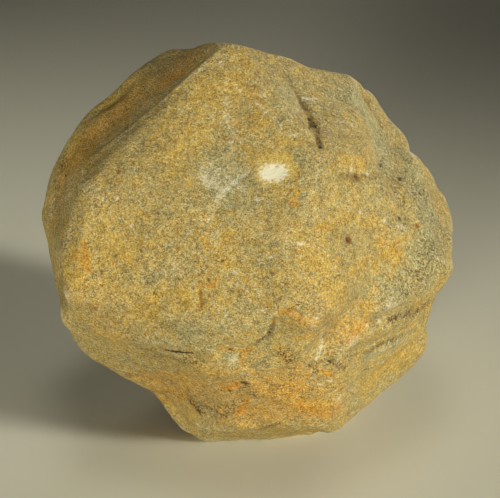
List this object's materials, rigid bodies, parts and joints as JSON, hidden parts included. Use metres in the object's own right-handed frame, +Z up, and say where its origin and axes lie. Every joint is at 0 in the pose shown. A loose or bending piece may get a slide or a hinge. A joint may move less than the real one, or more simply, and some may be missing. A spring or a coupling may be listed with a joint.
{
  "type": "pseudoleucite crystal specimen",
  "caption": "Worn, roughly ball-shaped mineral crystal with flat trapezohedral faces, smaller crystals grown into its side, and a small flat spot that it rests on.",
  "frame": {"origin": "under the middle of the stone's box, in the plane of the flat spot that it rests on", "axes": "+Z up as the stone lies, -Y towards its front, which is the side seen in the picture, +X to the right of that side"},
  "size_m": [0.0614, 0.0548, 0.0596],
  "materials": {
    "stone": "matt, finely granular, ochre and greenish grey with rust stains"
  },
  "bodies": {
    "root": {"pseudoleucite_crystal": "stone"}
  },
  "joints": []
}
